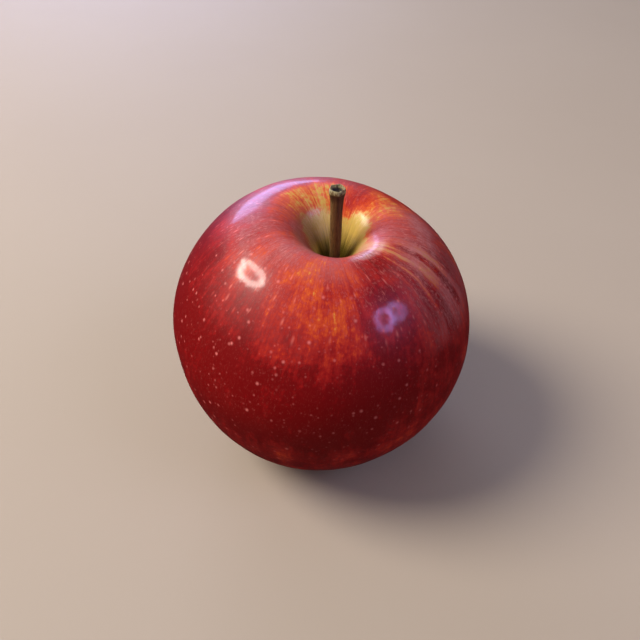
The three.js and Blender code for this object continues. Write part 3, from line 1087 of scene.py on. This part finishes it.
# Each lamp's name, azimuth and elevation in degrees, width and height in metres, turn in degrees, brightness,
# tint, what it lights, and, for a ring, the share of its radius that is dark in its middle. Glossy lamps are
# only seen mirrored in the skin. All hang at one distance, and a ring's inner edge is soft.
LAMPS = [
    ("key_ring", 171.3, 43.1, 0.41, 0.170, 50, 96, (1, 0.93, 0.82), "glossy", 0.58),
    ("key", 177, 47, 0.46, 0.46, 0, 19, (1, 0.91, 0.79), "diffuse"),
    ("fill_ring_left", -25.6, 42.3, 0.23, 0.19, 139, 42, (0.42, 0.36, 1), "glossy", 0.62),
    ("fill_ring_right", -13.1, 38.8, 0.19, 0.16, 133, 30, (0.46, 0.38, 1), "glossy", 0.50),
    ("fill", -21, 41, 0.50, 0.50, 0, 2.6, (0.72, 0.68, 1), "diffuse"),
    ("window", 108, 12, 0.64, 0.36, 0, 13, (0.44, 0.48, 1), "glossy"),
    ("window_glow", 108, 16, 0.60, 0.60, 0, 4, (0.74, 0.78, 1), "diffuse"),
]
LAMP_DISTANCE = 0.9
RING_SOFTNESS = 0.05

# The height of the middle that the lamps and the camera look at. The camera: how steeply it looks down, in
# degrees, how far off it is, its focal length in millimetres, and how far right of and above the middle its
# aim is.
MIDDLE_HEIGHT = 30 * MM
CAMERA_RISE = 44
CAMERA_DISTANCE = 170 * MM
FOCAL_LENGTH = 37.3
AIM_RIGHT = 0.39 * MM
AIM_UP = 1.08 * MM


def lay_floor():
    clear_selection()
    bpy.ops.mesh.primitive_plane_add(size=6, location=(0, 0, -0.02 * MM))
    floor = bpy.context.object
    floor.name = "floor"
    paint = Finish("floor_paint", **{"Roughness": 0.8, "Specular IOR Level": 0.2})
    cloud = paint.noise(paint.place(), 9, 4)
    paint.wear(Base_Color=paint.mix(cloud, *FLOOR_TINTS))
    floor.data.materials.append(paint.material)
    floor.visible_glossy = False


def light_room():
    """Lights a room that is dim low down. The camera sees a pale backdrop in place of the dim part."""
    world = bpy.data.worlds.new("studio")
    bpy.context.scene.world = world
    world.use_nodes = True
    room = Wiring(world.node_tree)
    up = room.split(room.node("ShaderNodeTexCoord").outputs["Generated"])["Z"]
    glow = room.node("ShaderNodeMapRange", {0: up, 1: -0.1, 2: 1.0, 3: ROOM_LOW, 4: ROOM_HIGH}).outputs[0]
    seen = room.node("ShaderNodeLightPath").outputs["Is Camera Ray"]
    backdrop = room.tree.nodes["Background"]
    room.feed(backdrop.inputs["Color"], ROOM_TINT)
    room.feed(backdrop.inputs["Strength"], room.maths("MULTIPLY_ADD", seen, BACKDROP, glow))


def hang_lamp(name, azimuth, elevation, width, height, roll, brightness, tint, lights, hole=None):
    """A round area light that looks at the middle of the object."""
    turn = math.radians(azimuth)
    rise = math.radians(elevation)
    way = Vector((math.cos(rise) * math.cos(turn), math.cos(rise) * math.sin(turn), math.sin(rise)))
    lamp = bpy.data.lights.new(name, "AREA")
    lamp.shape = "ELLIPSE"
    lamp.size = width
    lamp.size_y = height
    lamp.energy = brightness * math.pi ** 2 * width * height / 4
    lamp.color = tint
    lit = bpy.data.objects.new(name, lamp)
    lit.location = Vector((0, 0, MIDDLE_HEIGHT)) + way * LAMP_DISTANCE
    spin = Quaternion((0, 0, 1), math.radians(roll))
    lit.rotation_euler = (way.to_track_quat("Z", "Y") @ spin).to_euler()
    lit.visible_diffuse = lights == "diffuse"
    lit.visible_glossy = lights == "glossy"
    bpy.context.scene.collection.objects.link(lit)
    if hole:
        darken_middle(lamp, hole)


def darken_middle(lamp, hole):
    """Makes a round lamp a ring."""
    lamp.use_nodes = True
    ring = Wiring(lamp.node_tree)
    across = ring.node("ShaderNodeNewGeometry").outputs["Parametric"]
    off_centre = ring.vectors("DISTANCE", across, (0.5, 0.5, 0), "Value")
    feeds = {0: off_centre, 1: hole / 2 - RING_SOFTNESS, 2: hole / 2 + RING_SOFTNESS}
    lit = ring.node("ShaderNodeMapRange", feeds).outputs[0]
    ring.feed(ring.tree.nodes["Emission"].inputs["Strength"], lit)


def set_camera():
    """Looks down at the apple from the front, close to it."""
    rise = math.radians(CAMERA_RISE)
    back = Vector((0, -math.cos(rise), math.sin(rise)))
    up = Vector((0, math.sin(rise), math.cos(rise)))
    middle = Vector((AXIS.x, AXIS.y, MIDDLE_HEIGHT))
    aim = middle + Vector((AIM_RIGHT, 0, 0)) + up * AIM_UP
    lens = bpy.data.cameras.new("camera")
    lens.sensor_width = 36
    lens.lens = FOCAL_LENGTH
    lens.clip_start = 0.01
    camera = bpy.data.objects.new("camera", lens)
    camera.location = middle + back * CAMERA_DISTANCE
    camera.rotation_euler = (camera.location - aim).to_track_quat("Z", "Y").to_euler()
    bpy.context.scene.collection.objects.link(camera)
    bpy.context.scene.camera = camera


class APPLE_PT_panel(bpy.types.Panel):
    """Lists the steps in order"""

    bl_label = "Red apple"
    bl_idname = "APPLE_PT_panel"
    bl_space_type = "VIEW_3D"
    bl_region_type = "UI"
    bl_category = "Red apple"

    def draw(self, context):
        for operator in OPERATORS:
            self.layout.operator(operator.bl_idname)


OPERATORS = (APPLE_OT_fruit, APPLE_OT_stem, APPLE_OT_sepals, APPLE_OT_stamens, APPLE_OT_stage)
CLASSES = (FruitForm, StemForm, FlowerForm, SkinLook, BarkLook, AppleSettings, *OPERATORS, APPLE_PT_panel)


def register():
    for kind in CLASSES:
        bpy.utils.register_class(kind)
    bpy.types.Scene.red_apple = PointerProperty(type=AppleSettings)


def unregister():
    del bpy.types.Scene.red_apple
    for kind in reversed(CLASSES):
        bpy.utils.unregister_class(kind)


def main():
    """Builds every piece and the stage."""
    register()
    bpy.context.scene.view_settings.view_transform = "Standard"
    for step in ("fruit", "stem", "sepals", "stamens", "stage"):
        getattr(bpy.ops.apple, step)()


if __name__ == "__main__":
    main()
